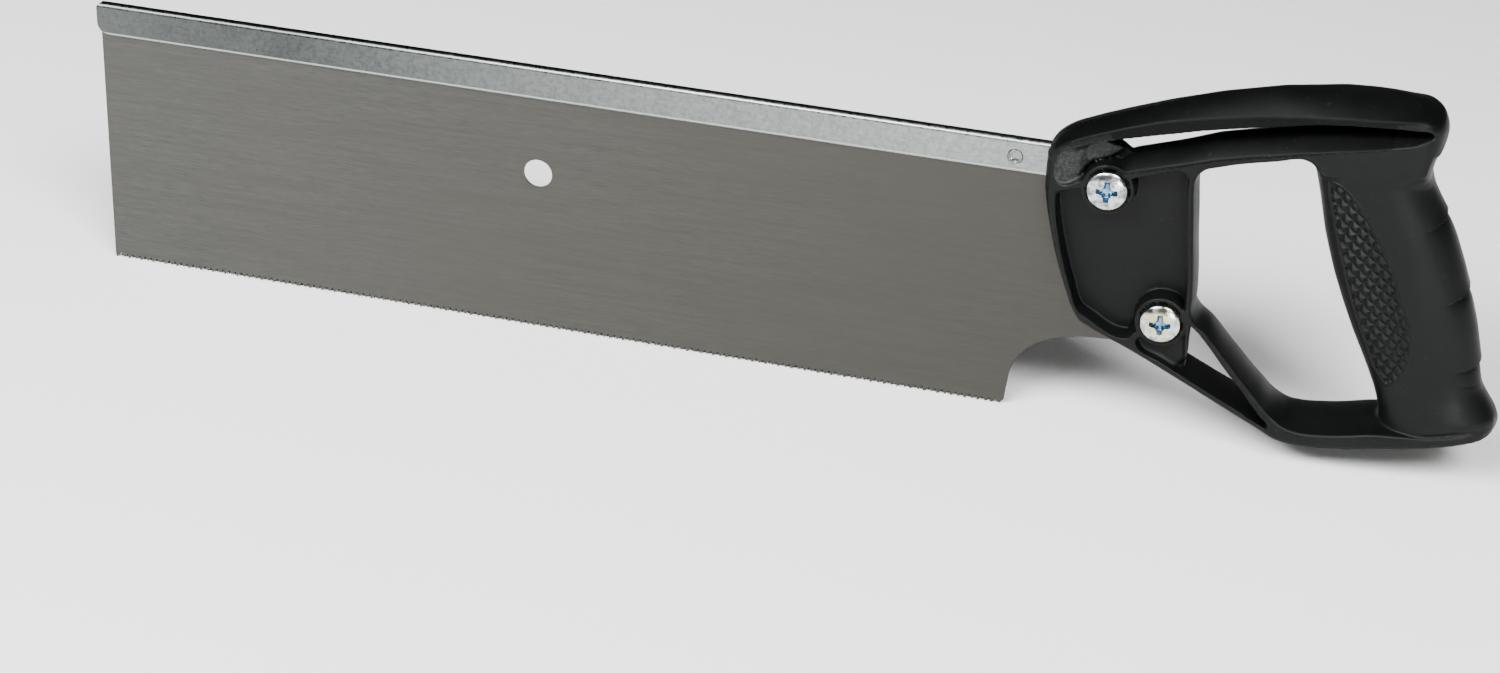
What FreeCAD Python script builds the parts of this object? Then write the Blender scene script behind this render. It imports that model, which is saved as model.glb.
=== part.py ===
import FreeCAD, Part
import Sketcher
import math
import os

# Back saw: a 14 inch blade held in a folded steel back, with a moulded handle.
# Drawing frame of every piece: X runs from the toe of the blade to the handle,
# Z is up with zero on top of the folded back, Y is across the blade and zero at
# its mid-plane.  Each piece's Placement then moves that frame so the origin is
# at the centre of the hanging hole in the blade.

V = FreeCAD.Vector
doc = FreeCAD.newDocument("back_saw")

# ---------------------------------------------------------------- dimensions
sheet = doc.addObject("Spreadsheet::Sheet", "Dims")
SIZES = [
    ("hole_x", 174.0), ("hole_drop", 43.0), ("hole_radius", 5.5),
    ("blade_thick", 0.85), ("blade_length", 355.6), ("blade_drop", 107.0),
    ("tooth_pitch", 2.54), ("tooth_depth", 1.9), ("tooth_count", 140),
    ("blade_top", 1.9), ("tang_hole_radius", 3.15),
    ("back_height", 13.0), ("back_thick", 4.4), ("back_toe", 1.15),
    ("back_end", 372.5), ("back_slot", 0.9), ("back_shoulder", 2.0),
    ("back_bevel", 0.7),
    ("rivet_x", 350.6), ("rivet_drop", 7.0), ("rivet_radius", 2.65),
    ("rivet_proud", 0.12),
    ("handle_width", 29.2), ("web_thick", 4.4), ("slit_width", 1.0),
    ("socket_width", 4.7), ("socket_block", 14.4),
    ("boss_radius", 9.3), ("boss_height", 20.0), ("boss_bore", 3.1),
    ("screw_a_x", 384.8), ("screw_a_drop", 11.0),
    ("screw_b_x", 409.2), ("screw_b_drop", 58.8),
    ("head_radius", 7.2), ("head_edge", 0.9), ("head_height", 2.7),
    ("shank_radius", 2.0), ("recess_depth", 1.9), ("recess_span", 7.4),
    ("recess_width", 1.4), ("barrel_radius", 3.0), ("barrel_end", 4.0),
    ("nut_bore", 2.06), ("nut_head", 2.2), ("nut_slot", 1.5),
]
for row, (name, value) in enumerate(SIZES, start=1):
    sheet.set("A%d" % row, name)
    sheet.set("B%d" % row, repr(value))
    sheet.setAlias("B%d" % row, name)
doc.recompute()
D = dict((name, float(getattr(sheet, name))) for name, _ in SIZES)


# ------------------------------------------------------------------- helpers
def body(name):
    b = doc.addObject("PartDesign::Body", name)
    b.Label = name
    return b


def plane(b, role):
    for f in b.Origin.OriginFeatures:
        if f.Role == role:
            return f
    raise ValueError(role)


def sketch(b, name, role="XZ_Plane", offset=0.0):
    s = b.newObject("Sketcher::SketchObject", name)
    s.AttachmentSupport = [(plane(b, role), "")]
    s.MapMode = "FlatFace"
    if offset:
        s.AttachmentOffset = FreeCAD.Placement(V(0, 0, offset), FreeCAD.Rotation())
    return s


def loop(s, points):
    n = len(points)
    for i in range(n):
        a, c = points[i], points[(i + 1) % n]
        s.addGeometry(Part.LineSegment(V(a[0], a[1], 0), V(c[0], c[1], 0)), False)


def circle(s, cx, cy, radius, ex, ey, er):
    """A circle whose centre and radius are bound to the sheet."""
    g = s.addGeometry(Part.Circle(V(cx, cy, 0), V(0, 0, 1), radius), False)
    k = s.addConstraint(Sketcher.Constraint("DistanceX", -1, 1, g, 3, cx))
    s.setExpression("Constraints[%d]" % k, ex)
    k = s.addConstraint(Sketcher.Constraint("DistanceY", -1, 1, g, 3, cy))
    s.setExpression("Constraints[%d]" % k, ey)
    k = s.addConstraint(Sketcher.Constraint("Radius", g, radius))
    s.setExpression("Constraints[%d]" % k, er)


def pad(b, name, s, length, both=True):
    f = b.newObject("PartDesign::Pad", name)
    f.Profile = s
    f.SideType = "Symmetric" if both else "One side"
    f.setExpression("Length", length)
    return f


def cut(b, name, s, length=None):
    f = b.newObject("PartDesign::Pocket", name)
    f.Profile = s
    f.SideType = "Symmetric"
    if length is None:
        f.Type = "ThroughAll"
    else:
        f.setExpression("Length", length)
    return f


def seat(b, x="-Dims.hole_x", z="Dims.hole_drop"):
    """Put the drawing frame so that the hanging hole is at the origin."""
    b.setExpression("Placement.Base.x", x)
    b.setExpression("Placement.Base.z", z)


def spline(points, n):
    """Points along the smooth curve through the given points."""
    c = Part.BSplineCurve()
    c.interpolate([V(p[0], p[1], 0) for p in points])
    a, z = c.FirstParameter, c.LastParameter
    out = [c.value(a + (z - a) * i / float(n)) for i in range(n + 1)]
    return [(q.x, q.y) for q in out]


# --------------------------------------------------------------------- blade
blade = body("blade")
gullet = -(D["blade_drop"] - D["tooth_depth"])
heel = spline([(356.0, -100.0), (357.3, -90.5), (361.5, -83.2), (369.0, -77.6),
               (378.5, -74.7), (390.0, -73.5)], 22)
outline = [(0.0, -D["blade_top"]), (370.0, -D["blade_top"]), (371.5, -3.4),
           (405.6, -3.4), (407.3, -5.0), (414.9, -69.0), (414.2, -71.6),
           (411.6, -73.2), (401.0, -73.2)]
outline += list(reversed(heel)) + [(D["blade_length"], gullet), (0.0, gullet)]
s = sketch(blade, "blade_outline")
loop(s, outline)
pad(blade, "blade_plate", s, "Dims.blade_thick")
# One raked tooth, steep towards the toe, repeated along the edge.
s = sketch(blade, "tooth_outline")
loop(s, [(0.0, gullet + 0.3), (0.0, gullet), (0.42, -D["blade_drop"]),
         (0.52, -D["blade_drop"]), (D["tooth_pitch"], gullet),
         (D["tooth_pitch"], gullet + 0.3)])
tooth = pad(blade, "tooth", s, "Dims.blade_thick")
doc.recompute()
row = blade.newObject("PartDesign::LinearPattern", "tooth_row")
row.Originals = [tooth]
row.Direction = (plane(blade, "X_Axis"), [""])
row.Mode = "Spacing"
row.setExpression("Offset", "Dims.tooth_pitch")
row.setExpression("Occurrences", "Dims.tooth_count")
blade.Tip = row
s = sketch(blade, "blade_holes")
circle(s, D["hole_x"], -D["hole_drop"], D["hole_radius"],
       "Dims.hole_x", "-Dims.hole_drop", "Dims.hole_radius")
circle(s, D["screw_a_x"], -D["screw_a_drop"], D["tang_hole_radius"],
       "Dims.screw_a_x", "-Dims.screw_a_drop", "Dims.tang_hole_radius")
circle(s, D["screw_b_x"], -D["screw_b_drop"], D["tang_hole_radius"],
       "Dims.screw_b_x", "-Dims.screw_b_drop", "Dims.tang_hole_radius")
circle(s, D["rivet_x"], -D["rivet_drop"], D["rivet_radius"] + 0.03,
       "Dims.rivet_x", "-Dims.rivet_drop", "Dims.rivet_radius + 0.03")
cut(blade, "blade_hole_cut", s)
seat(blade)

# --------------------------------------------------------------- folded back
back = body("folded_back")
bh, toe, end = -D["back_height"], -D["back_toe"], D["back_end"]


def arc(cx, cy, r, a0, a1, n):
    return [(cx + r * math.cos(math.radians(a0 + (a1 - a0) * i / float(n))),
             cy + r * math.sin(math.radians(a0 + (a1 - a0) * i / float(n))))
            for i in range(n + 1)]


side = [(end, 0.0)] + arc(toe + 1.2, -1.2, 1.2, 90, 180, 4) \
    + arc(toe + 5.0, bh + 5.0, 5.0, 180, 270, 8) + [(end, bh)]
s = sketch(back, "back_side")
loop(s, side)
pad(back, "back_strip", s, "Dims.back_thick")
# Rounded fold along the top, bevelled lips along the bottom: trims that run
# the whole length, drawn on the end plane.
s = sketch(back, "back_trim", "YZ_Plane")
hw, r, q = D["back_thick"] / 2.0, D["back_shoulder"], D["back_bevel"]
for sgn in (-1.0, 1.0):
    curve = [(sgn * (hw - r + r * math.sin(math.radians(a))),
              -r + r * math.cos(math.radians(a))) for a in range(0, 91, 15)]
    loop(s, [(sgn * (hw - r), 1.0)] + curve + [(sgn * (hw + 1), -r), (sgn * (hw + 1), 1.0)])
    loop(s, [(sgn * hw, bh + 1.3), (sgn * (hw - q), bh), (sgn * (hw - q), bh - 1),
             (sgn * (hw + 1), bh - 1), (sgn * (hw + 1), bh + 1.3)])
cut(back, "back_trim_cut", s)
# The slot between the two leaves, in which the blade sits.
s = sketch(back, "back_slot_outline", "YZ_Plane")
g = D["back_slot"] / 2.0
loop(s, [(-g, -D["blade_top"] + 0.1), (g, -D["blade_top"] + 0.1), (g, bh - 1), (-g, bh - 1)])
cut(back, "back_slot_cut", s)
s = sketch(back, "back_rivet_hole")
circle(s, D["rivet_x"], -D["rivet_drop"], D["rivet_radius"] + 0.03,
       "Dims.rivet_x", "-Dims.rivet_drop", "Dims.rivet_radius + 0.03")
cut(back, "back_rivet_cut", s)
seat(back)

# --------------------------------------------------------------------- rivet
# A round stake through both leaves and the blade, with a dished end.
rivet = body("back_rivet")
s = sketch(rivet, "rivet_profile", "XY_Plane")
ry = D["back_thick"] / 2.0 + D["rivet_proud"]
rr = D["rivet_radius"]
loop(s, [(0.0, -ry + 0.3), (rr - 0.55, -ry + 0.3), (rr - 0.35, -ry), (rr - 0.1, -ry),
         (rr, -ry + 0.15), (rr, ry - 0.15), (rr - 0.1, ry), (rr - 0.35, ry),
         (rr - 0.55, ry - 0.3), (0.0, ry - 0.3)])
f = rivet.newObject("PartDesign::Revolution", "rivet_solid")
f.Profile = s
f.ReferenceAxis = (s, ["V_Axis"])
f.Angle = 360.0
seat(rivet, "Dims.rivet_x - Dims.hole_x", "Dims.hole_drop - Dims.rivet_drop")

# -------------------------------------------------------------------- handle
handle = body("handle")
# Frame of the moulding: hood edge, front rim, lower beam, pommel, strut and
# front wall of the hand opening.  The grip closes it at the back.
frame_outline = [
    (362.3, -1.4), (363.6, 0.6), (366.4, 2.4), (372, 5.0), (380, 8.6), (388, 11.9), (396, 14.6),
    (404, 16.9), (412, 18.8), (420, 20.5), (440, 23.9), (460, 27.8), (480, 30.2), (488, 31.0),
    (493, 30.1), (495.5, 26.7), (495.0, 22.9), (493.3, 18.4), (492.1, 14.0), (491.9, 10.0),
    (492.4, 7.0), (454.0, 7.0), (452.2, 10.2), (450.0, 10.8), (440, 8.3), (430, 5.7),
    (421.8, 3.4), (418.2, 1.7), (415.6, -0.9), (414.7, -3.8), (414.8, -7.5), (416.0, -18),
    (417.4, -30), (418.8, -41), (419.4, -48), (419.8, -54.2), (421.2, -56.7), (426.5, -61),
    (434.5, -69.4), (446.5, -81.9), (453.7, -88.6), (457.4, -90.6), (462, -91.3), (470, -90.7),
    (478, -89.3), (486, -87.3), (496, -86.0), (508, -85.0), (524, -81.4), (528.6, -79.6),
    (529.8, -81.0), (528.9, -83.4), (525.8, -85.3), (520, -86.9), (510, -89.3), (500, -91.6),
    (490, -93.8), (480, -95.8), (468, -97.5), (460, -97.8), (453.7, -97.0), (447.6, -94.6),
    (439.7, -91.2), (420, -81.8), (410, -77.1), (400, -72.5), (384, -65.8), (380.6, -64.1),
    (378.1, -60.9), (374.5, -53.2), (369.4, -40.2), (365.4, -27.2), (363.3, -19.1),
    (362.1, -10.1), (361.9, -5.4)]
slot = [
    (366.6, -1.0), (367.0, 0.8), (368.6, 1.9), (372, 3.3), (376, 5.0), (380, 6.4), (387, 8.6),
    (394, 10.5), (400, 12.2), (406, 13.8), (412, 15.5), (420, 17.5), (430, 19.8), (440, 22.0),
    (455, 25.7), (475, 28.2), (484, 28.7), (489.4, 28.4), (491.4, 27.0), (490.6, 25.0),
    (485, 22.9), (475, 20.2), (460, 16.6), (440, 11.0), (420, 5.9), (412, 3.0), (404, 0.5),
    (396, -2.0), (388, -4.6), (376, -9.0), (368.4, -11.8), (366.6, -10.8)]
cheek = [
    (366.9, -14.8), (376, -11.4), (393, -5.4), (400, -2.9), (409.8, 0.0), (411.5, -1.4),
    (412.3, -8.0), (414.4, -25.0), (416.4, -41.0), (417.0, -49.0), (416.9, -53.0),
    (408.6, -58.4), (400.4, -64.6), (397.6, -67.4), (396.0, -67.5), (383.4, -62.0),
    (380.4, -60.2), (375.6, -50.0), (370.6, -35.0), (367.4, -21.0)]
throat = [
    (409.8, -59.6), (418.6, -57.6), (420.6, -58.9), (424, -62.0), (428, -66.3), (436, -75.5),
    (444, -84.0), (448, -88.5), (451.6, -92.4), (450.8, -93.3), (449.4, -92.8), (440, -88.5),
    (430, -83.9), (420, -79.1), (410, -74.2), (402.8, -70.9), (401.6, -69.2)]
s = sketch(handle, "frame_outline_sketch")
for w in (frame_outline, slot, cheek, throat):
    loop(s, w)
pad(handle, "handle_frame", s, "Dims.handle_width")

# Plan view of the moulding: it narrows towards the blade and rounds off at
# both ends.
half = [(361.75, 4.4), (362.7, 6.6), (364.5, 8.4), (368, 9.6), (376, 10.0), (391, 10.0),
        (420, 10.2), (440, 10.8), (448, 11.6), (456, 13.0), (464, 13.9), (475, 14.3), (490, 14.6),
        (505, 14.6), (514, 13.9), (521, 12.2), (526, 9.4), (529, 5.6), (530.2, 0.6)]
s = sketch(handle, "plan_trim", "XY_Plane")
for sgn in (-1.0, 1.0):
    loop(s, [(350.0, sgn * 20), (350.0, sgn * 4.0), (361.75, sgn * 4.0)]
         + [(x, sgn * y) for x, y in half]
         + [(540.0, sgn * 0.6), (540.0, sgn * 20)])
cut(handle, "plan_trim_cut", s)
# The horn behind the hood rounds off earlier than the rest.
s = sketch(handle, "horn_trim", "XY_Plane", 9.0)
for sgn in (-1.0, 1.0):
    loop(s, [(x, sgn * y) for x, y in ((485.0, 14.8), (488, 13.9), (491, 12.4), (493.2, 10.0), (494.8, 6.8),
                                       (495.8, 3.0), (496.0, 0.6), (500, 0.6), (500, 20), (485.0, 20))])
f = handle.newObject("PartDesign::Pocket", "horn_trim_cut")
f.Profile = s
f.Reversed = True
f.Length = 40.0


def half_width(x):
    for (xa, ya), (xb, yb) in zip(half, half[1:]):
        if xa <= x <= xb:
            return ya + (yb - ya) * (x - xa) / (xb - xa)
    return half[0][1]


# Web between the two cheeks, the bulge over the end of the back, and bosses.
s = sketch(handle, "web_outline")
loop(s, [(364.2, -1.0), (366.2, 3.6), (372, 6.8), (375.4, 8.8), (377.8, 7.5), (382.6, 5.5),
         (389.6, 2.2), (392.4, 0.4), (394.0, -3.4), (412.6, 1.4), (414.2, -4.0), (417.4, -30),
         (419.0, -50.0), (419.2, -57.0), (419.0, -80.0), (410, -75.8), (400, -71.2),
         (384.0, -64.4), (380.4, -61.4), (376.0, -52.0), (370.0, -37.0), (366.0, -24.0),
         (364.2, -10.0)])
pad(handle, "handle_web", s, "Dims.web_thick")
s = sketch(handle, "socket_outline")
loop(s, [(364.8, -15.2), (369.5, -14.9), (372.6, -12.6), (374.0, -8.0), (374.6, -2.0), (375.0, 3.0),
         (374.0, 4.6), (364.8, 0.8)])
pad(handle, "socket_bulge", s, "Dims.socket_block")
s = sketch(handle, "gusset_outline")
loop(s, [(371.5, 2.2), (374.6, 2.0), (378.6, 3.9), (382.4, 5.8), (386.0, 8.4), (385.0, 10.0), (379, 8.4), (371, 5.0)])
pad(handle, "corner_gusset", s, "10.0")
s = sketch(handle, "skirt_outline")
loop(s, [(399.0, -64.0), (402.4, -71.0), (409.0, -75.4), (416.0, -78.0), (418.9, -75), (418.8, -68), (418.0, -60.0), (409, -56)])
pad(handle, "boss_skirt", s, "11.0")
s = sketch(handle, "boss_outline")
circle(s, D["screw_a_x"], -D["screw_a_drop"], D["boss_radius"],
       "Dims.screw_a_x", "-Dims.screw_a_drop", "Dims.boss_radius")
circle(s, D["screw_b_x"], -D["screw_b_drop"], D["boss_radius"],
       "Dims.screw_b_x", "-Dims.screw_b_drop", "Dims.boss_radius")
pad(handle, "bosses", s, "Dims.boss_height")


# Hood: a crowned arch over the slot, lofted from cross sections along it.
def crown_section(name, x, low, edge, crest, w):
    sec = sketch(handle, name, "YZ_Plane", x)
    w = min(w, half_width(x) - 0.02)
    top = [(w * math.cos(math.radians(a)), edge + (crest - edge) * math.sin(math.radians(a)))
           for a in range(0, 181, 15)]
    loop(sec, [(-w, low), (w, low)] + top)
    return sec


def crown(name, rows):
    secs = [crown_section("%s_section_%d" % (name, i), *r) for i, r in enumerate(rows)]
    f = handle.newObject("PartDesign::AdditiveLoft", name)
    f.Profile = secs[0]
    f.Sections = secs[1:]
    f.Ruled = True


crown("hood", [
    (362.4, -1.6, 0.0, 1.6, 20), (364.5, 0.0, 1.6, 3.6, 20), (370, 2.6, 4.8, 7.9, 20),
    (380, 6.4, 9.3, 12.6, 20), (390, 9.4, 13.1, 16.9, 20), (400, 12.2, 16.4, 20.9, 20),
    (420, 17.5, 20.9, 27.9, 20), (440, 22.0, 24.2, 33.0, 20), (455, 25.7, 27.4, 35.4, 20),
    (470, 27.6, 29.7, 36.3, 20), (482, 28.6, 30.9, 35.4, 14.4), (489, 28.7, 30.9, 33.3, 13.2),
    (493.4, 27.0, 28.9, 30.6, 9.4)])
# Bar under the hood: its top is crowned too, so the slot narrows inwards.
crown("bar_crown", [
    (386.0, -6.6, -5.2, -2.9, 20), (391.5, -5.2, -3.5, 1.7, 20), (400, -2.6, -0.8, 4.8, 20),
    (412, 1.0, 3.0, 9.1, 20), (420, 4.2, 5.9, 12.1, 20), (440, 9.4, 11.0, 17.1, 20),
    (460, 15.0, 16.6, 22.2, 20), (475, 18.6, 20.2, 24.8, 20), (486, 21.6, 23.2, 26.0, 14.0),
    (491.0, 24.0, 25.4, 27.4, 12.0)])

# Grip: an oval that leans back, wider across the pommel.
GRIP = [(10.5, 452.3, 492.4, 13.8), (4.0, 454.3, 494.9, 14.1), (-4.0, 456.8, 499.9, 14.3),
        (-14.0, 459.4, 505.2, 14.4), (-26.0, 463.4, 510.4, 14.4), (-38.0, 468.4, 514.8, 14.3),
        (-50.0, 473.8, 518.6, 14.3), (-60.0, 479.0, 520.8, 14.2), (-68.0, 483.2, 522.8, 14.2),
        (-76.0, 487.0, 528.2, 14.0), (-82.0, 488.8, 529.4, 13.7), (-86.5, 489.3, 526.6, 13.2)]
grip = []
for i, (z, front, rear, w) in enumerate(GRIP):
    sec = sketch(handle, "grip_section_%d" % i, "XY_Plane", z)
    cx, a = (front + rear) / 2.0, (rear - front) / 2.0
    pts = []
    for k in range(32):
        t = 2 * math.pi * (k + 0.5) / 32
        c, n = math.cos(t), math.sin(t)
        # Superellipse: fuller than an ellipse across the palm.
        e = 2.0 / 2.35
        pts.append((cx + a * math.copysign(abs(c) ** e, c), w * math.copysign(abs(n) ** e, n)))
    loop(sec, pts)
    grip.append(sec)
f = handle.newObject("PartDesign::AdditiveLoft", "grip")
f.Profile = grip[0]
f.Sections = grip[1:]
f.Ruled = True

# Three stepped ridges across the back of the grip.
s = sketch(handle, "grip_steps")
for x, z, xl in ((499.9, -4.0, 501.7), (511.9, -30.2, 513.2), (520.3, -57.0, 521.2)):
    loop(s, [(x - 1.1, z), (x + 3.0, z), (xl + 3.0, z - 3.4), (xl + 0.1, z - 3.4)])
f = cut(handle, "grip_steps_cut", s, "15.0")

# Slit for the tang, socket for the back, and the two screw bores.
s = sketch(handle, "slit_outline")
loop(s, [(350, 45), (405.4, 45), (405.4, 21), (408.4, -3.0), (416.0, -70.0), (416.6, -86.0), (350, -86.0)])
cut(handle, "tang_slit", s, "Dims.slit_width")
s = sketch(handle, "socket_cut_outline")
loop(s, [(350, 0.3), (373.0, 0.3), (373.0, -13.4), (350, -13.4)])
cut(handle, "back_socket", s, "Dims.socket_width")
s = sketch(handle, "bore_outline")
circle(s, D["screw_a_x"], -D["screw_a_drop"], D["boss_bore"],
       "Dims.screw_a_x", "-Dims.screw_a_drop", "Dims.boss_bore")
circle(s, D["screw_b_x"], -D["screw_b_drop"], D["boss_bore"],
       "Dims.screw_b_x", "-Dims.screw_b_drop", "Dims.boss_bore")
cut(handle, "screw_bores", s)
seat(handle)

# ------------------------------------------------------- screws and sleeve nuts
face = D["boss_height"] / 2.0


def dome(r0, y0, y1, n=6):
    """Points of a shallow dome from the rim to the axis."""
    rise = y1 - y0
    return [(r0 * math.cos(math.radians(90.0 * i / n)),
             y0 + rise * math.sin(math.radians(90.0 * i / n))) for i in range(n + 1)]


def turn(b, name, pts):
    sec = sketch(b, name + "_profile", "XY_Plane")
    loop(sec, pts)
    rv = b.newObject("PartDesign::Revolution", name)
    rv.Profile = sec
    rv.ReferenceAxis = (sec, ["V_Axis"])
    rv.Angle = 360.0
    return rv


for tag, letter in (("upper", "a"), ("lower", "b")):
    where = ("Dims.screw_%s_x - Dims.hole_x" % letter,
             "Dims.hole_drop - Dims.screw_%s_drop" % letter)
    # Truss-head screw with a cross recess; its shank ends inside the barrel.
    b = body("%s_screw" % tag)
    turn(b, "%s_screw_solid" % tag,
         [(D["shank_radius"], -face), (D["head_radius"], -face)]
         + dome(D["head_radius"], -face - D["head_edge"], -face - D["head_height"])
         + [(0.0, 5.0), (D["shank_radius"] - 0.4, 5.0), (D["shank_radius"], 4.6)])
    s = sketch(b, "%s_recess" % tag, "XZ_Plane", face + D["head_height"] + 0.2)
    a, w = D["recess_span"] / 2.0, D["recess_width"] / 2.0
    loop(s, [(-w, -a), (w, -a), (w, -w), (a, -w), (a, w), (w, w), (w, a), (-w, a),
             (-w, w), (-a, w), (-a, -w), (-w, -w)])
    f = b.newObject("PartDesign::Pocket", "%s_recess_cut" % tag)
    f.Profile = s
    f.setExpression("Length", "Dims.recess_depth + 0.2")
    seat(b, *where)
    # Barrel nut from the far side: it passes through the tang and meets the
    # screw inside the near boss.
    b = body("%s_sleeve_nut" % tag)
    turn(b, "%s_nut_solid" % tag,
         [(D["nut_bore"], -D["barrel_end"]), (D["barrel_radius"], -D["barrel_end"]),
          (D["barrel_radius"], face), (D["head_radius"], face)]
         + dome(D["head_radius"], face + D["head_edge"], face + D["nut_head"])
         + [(0.0, 6.0), (D["nut_bore"], 6.0)])
    s = sketch(b, "%s_nut_slot" % tag, "XZ_Plane", -(face + D["nut_head"] + 0.2))
    w = D["nut_slot"] / 2.0
    loop(s, [(-9, -w), (9, -w), (9, w), (-9, w)])
    f = b.newObject("PartDesign::Pocket", "%s_nut_slot_cut" % tag)
    f.Profile = s
    f.Reversed = True
    f.Length = 1.2
    seat(b, *where)

# ------------------------------------------------------------- test and write
doc.recompute()
bad = [o.Name + " " + str(o.State) for o in doc.Objects
       if "Invalid" in o.State or "Error" in o.State]
if bad:
    raise RuntimeError("failed: " + ", ".join(bad))
os.makedirs("parts", exist_ok=True)
for b in [o for o in doc.Objects if o.TypeId == "PartDesign::Body"]:
    shape = b.Shape
    if shape.isNull() or not shape.isValid() or len(shape.Solids) != 1:
        raise RuntimeError("bad shape: %s, %d solids" % (b.Label, len(shape.Solids)))
    bb = shape.BoundBox
    print("%-18s %9.1f mm3  x %.1f..%.1f  y %.1f..%.1f  z %.1f..%.1f" % (
        b.Label, shape.Volume, bb.XMin, bb.XMax, bb.YMin, bb.YMax, bb.ZMin, bb.ZMax))
    shape.exportStep(os.path.join("parts", b.Label + ".step"))
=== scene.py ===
import math
import bpy
import bmesh
import numpy as np
from mathutils import Matrix, Vector
from mathutils.geometry import tessellate_polygon


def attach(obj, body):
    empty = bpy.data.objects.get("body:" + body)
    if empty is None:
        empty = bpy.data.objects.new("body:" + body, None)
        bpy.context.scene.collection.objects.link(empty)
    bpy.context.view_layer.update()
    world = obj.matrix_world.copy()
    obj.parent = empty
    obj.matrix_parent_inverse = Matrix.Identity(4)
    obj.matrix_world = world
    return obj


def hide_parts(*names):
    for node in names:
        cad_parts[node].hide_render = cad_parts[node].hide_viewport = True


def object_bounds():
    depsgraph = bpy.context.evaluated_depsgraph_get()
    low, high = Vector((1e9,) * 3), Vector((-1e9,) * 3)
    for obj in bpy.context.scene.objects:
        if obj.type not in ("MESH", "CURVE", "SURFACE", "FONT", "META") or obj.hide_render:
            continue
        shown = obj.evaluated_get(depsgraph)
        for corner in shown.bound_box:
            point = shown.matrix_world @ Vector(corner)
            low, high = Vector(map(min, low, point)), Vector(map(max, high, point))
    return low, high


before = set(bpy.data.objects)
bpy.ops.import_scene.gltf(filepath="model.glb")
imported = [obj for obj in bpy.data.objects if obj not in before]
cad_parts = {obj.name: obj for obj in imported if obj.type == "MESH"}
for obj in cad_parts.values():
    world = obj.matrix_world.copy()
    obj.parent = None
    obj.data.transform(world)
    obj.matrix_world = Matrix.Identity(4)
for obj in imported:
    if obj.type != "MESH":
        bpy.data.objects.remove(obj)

CAD_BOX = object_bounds()

# A back saw. Sizes below are in millimetres in the saw's drawing frame: X from
# the toe of the blade to the handle, Z up from the top of the back, Y across.
# The row's frame has its origin at the hanging hole.
HX, HZ = 174.0, -43.0


def to_row(v):
    """Drawing frame in mm to the row's frame in metres."""
    out = np.array(v, float)
    out[:, 0] -= HX
    out[:, 2] -= HZ
    return out * 0.001


# ------------------------------------------------------------ outline helpers
def curve(points, step=0.6, closed=True):
    """Smooth line through points. A third value of 1 marks a sharp corner."""
    p = np.array([q[:2] for q in points], float)
    sharp = [len(q) > 2 and q[2] == 1 for q in points]
    n = len(p)
    h = np.linalg.norm(np.roll(p, -1, 0) - p, axis=1)
    h[h < 1e-6] = 1e-6
    d = (np.roll(p, -1, 0) - p) / h[:, None]
    out = []
    for i in range(n if closed else n - 1):
        j = (i + 1) % n
        def tangent(k, ahead):
            if sharp[k] or (not closed and k in (0, n - 1)):
                return d[k] if ahead else d[k - 1]
            a, b = h[k - 1], h[k]
            return (d[k - 1] * b + d[k] * a) / (a + b)
        m0, m1 = tangent(i, True) * h[i], tangent(j, False) * h[i]
        steps = max(1, int(math.ceil(h[i] / step)))
        t = np.arange(steps)[:, None] / steps
        t2, t3 = t * t, t * t * t
        out.append((2 * t3 - 3 * t2 + 1) * p[i] + (t3 - 2 * t2 + t) * m0
                   + (3 * t2 - 2 * t3) * p[j] + (t3 - t2) * m1)
    if not closed:
        out.append(p[-1:])
    return np.vstack(out)


def poly_distance(poly, a, b):
    """Signed distance to a closed polygon, negative inside, at points a, b."""
    q = np.roll(poly, -1, 0)
    best = np.full(a.shape, 1e9, np.float64)
    inside = np.zeros(a.shape, bool)
    for (x0, y0), (x1, y1) in zip(poly, q):
        ex, ey = x1 - x0, y1 - y0
        ll = ex * ex + ey * ey
        if ll < 1e-12:
            continue
        px, py = a - x0, b - y0
        t = np.clip((px * ex + py * ey) / ll, 0, 1)
        dx, dy = px - t * ex, py - t * ey
        np.minimum(best, dx * dx + dy * dy, out=best)
        if y0 != y1:
            hit = ((y0 > b) != (y1 > b)) & (a < ex * (b - y0) / ey + x0)
            inside ^= hit
    best = np.sqrt(best)
    return np.where(inside, -best, best)


class Map:
    """A signed distance map of an outline, sampled smoothly."""
    def __init__(self, poly, a0, a1, b0, b1, step=0.5):
        self.a0, self.b0, self.s = a0 - 3 * step, b0 - 3 * step, step
        na = int((a1 - a0) / step) + 8
        nb = int((b1 - b0) / step) + 8
        a = self.a0 + np.arange(na) * step
        b = self.b0 + np.arange(nb) * step
        A, B = np.meshgrid(a, b, indexing="ij")
        self.v = poly_distance(poly, A, B)

    def __call__(self, a, b):
        a, b = np.asarray(a, float), np.asarray(b, float)
        fa = np.clip((a - self.a0) / self.s, 1.001, self.v.shape[0] - 3.001)
        fb = np.clip((b - self.b0) / self.s, 1.001, self.v.shape[1] - 3.001)
        ia, ib = np.floor(fa).astype(int), np.floor(fb).astype(int)
        ta, tb = fa - ia, fb - ib
        wa = self._w(ta)
        wb = self._w(tb)
        out = 0
        for i in range(4):
            row = 0
            for j in range(4):
                row = row + wb[j] * self.v[ia + i - 1, ib + j - 1]
            out = out + wa[i] * row
        return out

    @staticmethod
    def _w(t):
        t2, t3 = t * t, t * t * t
        return (-0.5 * t + t2 - 0.5 * t3, 1 - 2.5 * t2 + 1.5 * t3,
                0.5 * t + 2 * t2 - 1.5 * t3, -0.5 * t2 + 0.5 * t3)


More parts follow.
